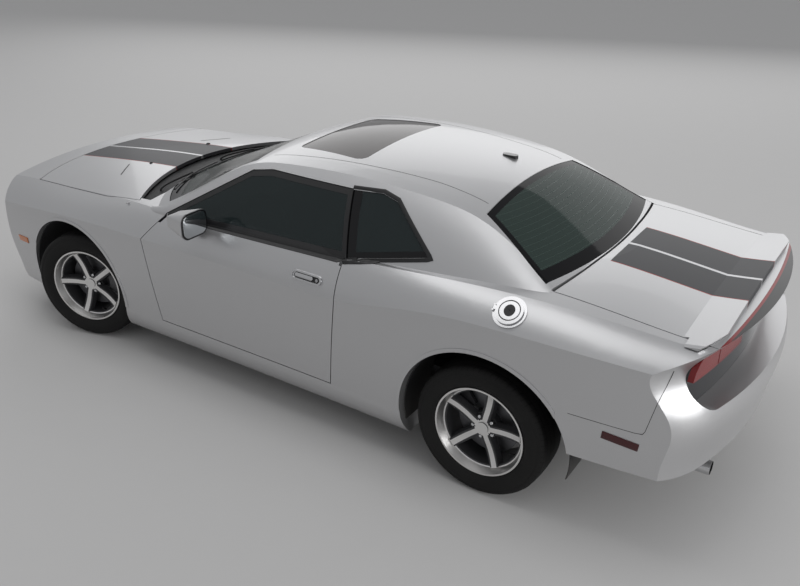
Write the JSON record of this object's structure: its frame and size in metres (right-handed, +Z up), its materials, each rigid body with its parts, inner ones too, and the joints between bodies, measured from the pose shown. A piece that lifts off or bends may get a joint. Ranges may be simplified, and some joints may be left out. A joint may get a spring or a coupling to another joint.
{
  "type": "muscle car",
  "caption": "Two-door hardtop coupe with a long hood, wide rear haunches, twin stripes, low tail spoiler and spoked wheels; it rolls, steers, and its doors, hood, trunk lid and fuel flap open.",
  "frame": {"origin": "on the ground under the centre of the bounding box, between the wheels", "axes": "+X forward, +Y to the car's left, +Z up"},
  "size_m": [5.0282, 2.19, 1.4561],
  "materials": {
    "paint": "bright silver metallic lacquer",
    "black_metal": "satin black",
    "grey_metal": "rough",
    "rim": "machined lip and spoke faces, grey pockets",
    "tyre": "matt",
    "dark_glass": "tinted",
    "black_plastic": "satin",
    "red_lamp": "gloss",
    "clear_lamp": "clear",
    "chrome": "polished",
    "steel": "satin",
    "leather": "black"
  },
  "bodies": {
    "body": {"body_side_left": "paint", "body_side_right": "paint", "fender_left": "paint", "fender_right": "paint", "rockers": "paint", "roof": "paint", "sunroof_glass": "dark_glass", "cowl_and_firewall": "black_metal", "windscreen": "dark_glass", "rear_screen": "dark_glass", "quarter_glass": "dark_glass", "rear_fascia": "paint", "tail_panel": "black_plastic", "tail_lamps": "red_lamp", "front_fascia": "paint", "grille": "black_plastic", "headlamps": "clear_lamp", "floor_pan": "black_metal", "arch_liners": "black_plastic", "front_subframe": "black_metal", "rear_subframe": "black_metal", "powertrain": "grey_metal", "exhaust": "steel", "fuel_tank": "black_metal", "dashboard": "black_plastic", "steering_wheel": "black_plastic", "front_seats": "leather", "rear_seat": "leather", "parcel_shelf": "black_plastic", "fuel_filler": "chrome", "aerial": "black_plastic"},
    "door_left": {"door_left": "paint", "door_glass_left": "dark_glass", "mirror_left": "paint", "door_handle_left": "chrome"},
    "door_right": {"door_right": "paint", "door_glass_right": "dark_glass", "mirror_right": "paint", "door_handle_right": "chrome"},
    "hood": {"hood": "paint"},
    "deck_lid": {"deck_lid": "paint", "spoiler": "paint"},
    "fuel_door": {"fuel_door": "chrome"},
    "knuckle_left": {"knuckle_left": "steel"},
    "knuckle_right": {"knuckle_right": "steel"},
    "wheel_front_left": {"rim_front_left": "rim", "tyre_front_left": "tyre"},
    "wheel_front_right": {"rim_front_right": "rim", "tyre_front_right": "tyre"},
    "wheel_rear_left": {"rim_rear_left": "rim", "tyre_rear_left": "tyre"},
    "wheel_rear_right": {"rim_rear_right": "rim", "tyre_rear_right": "tyre"}
  },
  "joints": [
    {"name": "steer_left", "type": "hinge", "parent": "body", "child": "knuckle_left", "pos_m": [1.571, 0.725, 0.358], "axis": [0, 0, 1], "range_deg": [-49, 17]},
    {"name": "steer_right", "type": "hinge", "parent": "body", "child": "knuckle_right", "pos_m": [1.571, -0.725, 0.358], "axis": [0, 0, 1], "range_deg": [-49, 17]},
    {"name": "wheel_front_left_spin", "type": "hinge", "parent": "knuckle_left", "child": "wheel_front_left", "pos_m": [1.55033, 0.79709, 0.358], "axis": [-0.2756, 0.9613, 0], "continuous": true},
    {"name": "wheel_front_right_spin", "type": "hinge", "parent": "knuckle_right", "child": "wheel_front_right", "pos_m": [1.59167, -0.79709, 0.358], "axis": [-0.2756, 0.9613, 0], "continuous": true},
    {"name": "wheel_rear_left_spin", "type": "hinge", "parent": "body", "child": "wheel_rear_left", "pos_m": [-1.375, 0.8, 0.358], "axis": [0, 1, 0], "continuous": true},
    {"name": "wheel_rear_right_spin", "type": "hinge", "parent": "body", "child": "wheel_rear_right", "pos_m": [-1.375, -0.8, 0.358], "axis": [0, 1, 0], "continuous": true},
    {"name": "door_left_hinge", "type": "hinge", "parent": "body", "child": "door_left", "pos_m": [0.775, 0.911, 0.62], "axis": [0, 0, -1], "range_deg": [0, 65]},
    {"name": "door_right_hinge", "type": "hinge", "parent": "body", "child": "door_right", "pos_m": [0.775, -0.911, 0.62], "axis": [0, 0, 1], "range_deg": [0, 65]},
    {"name": "hood_hinge", "type": "hinge", "parent": "body", "child": "hood", "pos_m": [1.1, 0, 0.99816], "axis": [0, -1, 0], "range_deg": [0, 52]},
    {"name": "deck_lid_hinge", "type": "hinge", "parent": "body", "child": "deck_lid", "pos_m": [-1.9, 0, 1.06811], "axis": [0, 1, 0], "range_deg": [0, 55]},
    {"name": "fuel_door_hinge", "type": "hinge", "parent": "body", "child": "fuel_door", "pos_m": [-1.414, 0.89559, 1.05651], "axis": [0, 0.7883, -0.6153], "range_deg": [0, 95]}
  ],
  "couplings": [
    {"joint": "steer_right", "follows": "steer_left", "ratio": 1}
  ]
}
